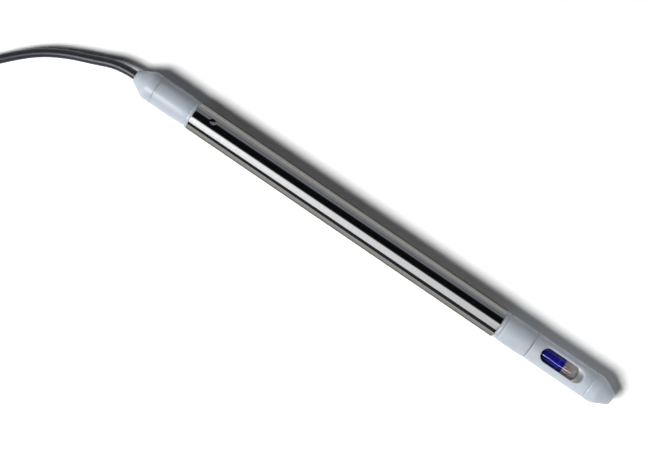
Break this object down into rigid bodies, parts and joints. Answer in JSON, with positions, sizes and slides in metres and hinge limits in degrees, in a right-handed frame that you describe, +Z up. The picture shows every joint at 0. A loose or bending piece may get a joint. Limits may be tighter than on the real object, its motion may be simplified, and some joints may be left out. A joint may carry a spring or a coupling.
{
  "type": "ph electrode",
  "caption": "Slim pH electrode: white guard with a window onto a blue-filled glass stem, polished steel tube, white cone-nosed cable cap, and a coiled lead with a bayonet plug.",
  "frame": {"origin": "on the bench, straight below the middle of the probe's length", "axes": "+X along the probe to its sensing tip, +Z up out of the guard's window, the lead leaves at -X"},
  "size_m": [0.5317, 0.0814, 0.0271],
  "materials": {
    "acetal": "turned white acetal, satin",
    "polished_steel": "polished stainless steel",
    "seal_rubber": "black moulded rubber",
    "electrode_glass": "clear drawn glass",
    "silver": "bare silver wire",
    "silver_chloride": "brown silver chloride coat",
    "blue_gel": "deep blue gel",
    "clear_buffer": "clear liquid",
    "reference_gel": "milky gel",
    "porous_ptfe": "porous white ptfe",
    "fibre_board": "glass-fibre board",
    "brass": "gold-coloured plated brass",
    "copper": "tinned copper",
    "white_insulation": "white insulation",
    "cable_jacket": "extruded dark blue-grey jacket, satin",
    "strap_fabric": "black hook-and-loop tape",
    "boot_rubber": "black moulded rubber, satin",
    "nickel_plate": "bright nickel plate"
  },
  "bodies": {
    "probe": {"gland_nut": "acetal", "cable_cap": "acetal", "cap_o_rings": "seal_rubber", "cable_grommet": "seal_rubber", "body_tube": "polished_steel", "electrode_collar": "acetal", "collar_o_rings": "seal_rubber", "stem_bung": "seal_rubber", "ph_glass": "electrode_glass", "silver_wire": "silver", "chloride_tip": "silver_chloride", "blue_gel": "blue_gel", "buffer_fill": "clear_buffer", "reference_gel": "reference_gel", "reference_wire": "silver_chloride", "junction_ring": "porous_ptfe", "window_guard": "acetal", "terminal_disc": "fibre_board", "terminal_eyelets": "brass", "inner_cable": "cable_jacket", "core_insulation": "white_insulation", "signal_wire": "copper", "screen_wire": "copper", "cable": "cable_jacket", "cable_coil": "cable_jacket", "coil_strap": "strap_fabric", "plug_tail": "cable_jacket", "plug_boot": "boot_rubber", "crimp_ferrule": "nickel_plate", "plug_body": "nickel_plate", "plug_insulator": "white_insulation", "plug_pin": "brass", "plug_gasket": "seal_rubber", "spring_washer": "nickel_plate"},
    "bayonet": {"bayonet_sleeve": "nickel_plate"}
  },
  "joints": [
    {"name": "bayonet_turn", "type": "hinge", "parent": "probe", "child": "bayonet", "pos_m": [-0.342, -0.003, 0.0199], "axis": [0, 1, 0], "continuous": true}
  ]
}
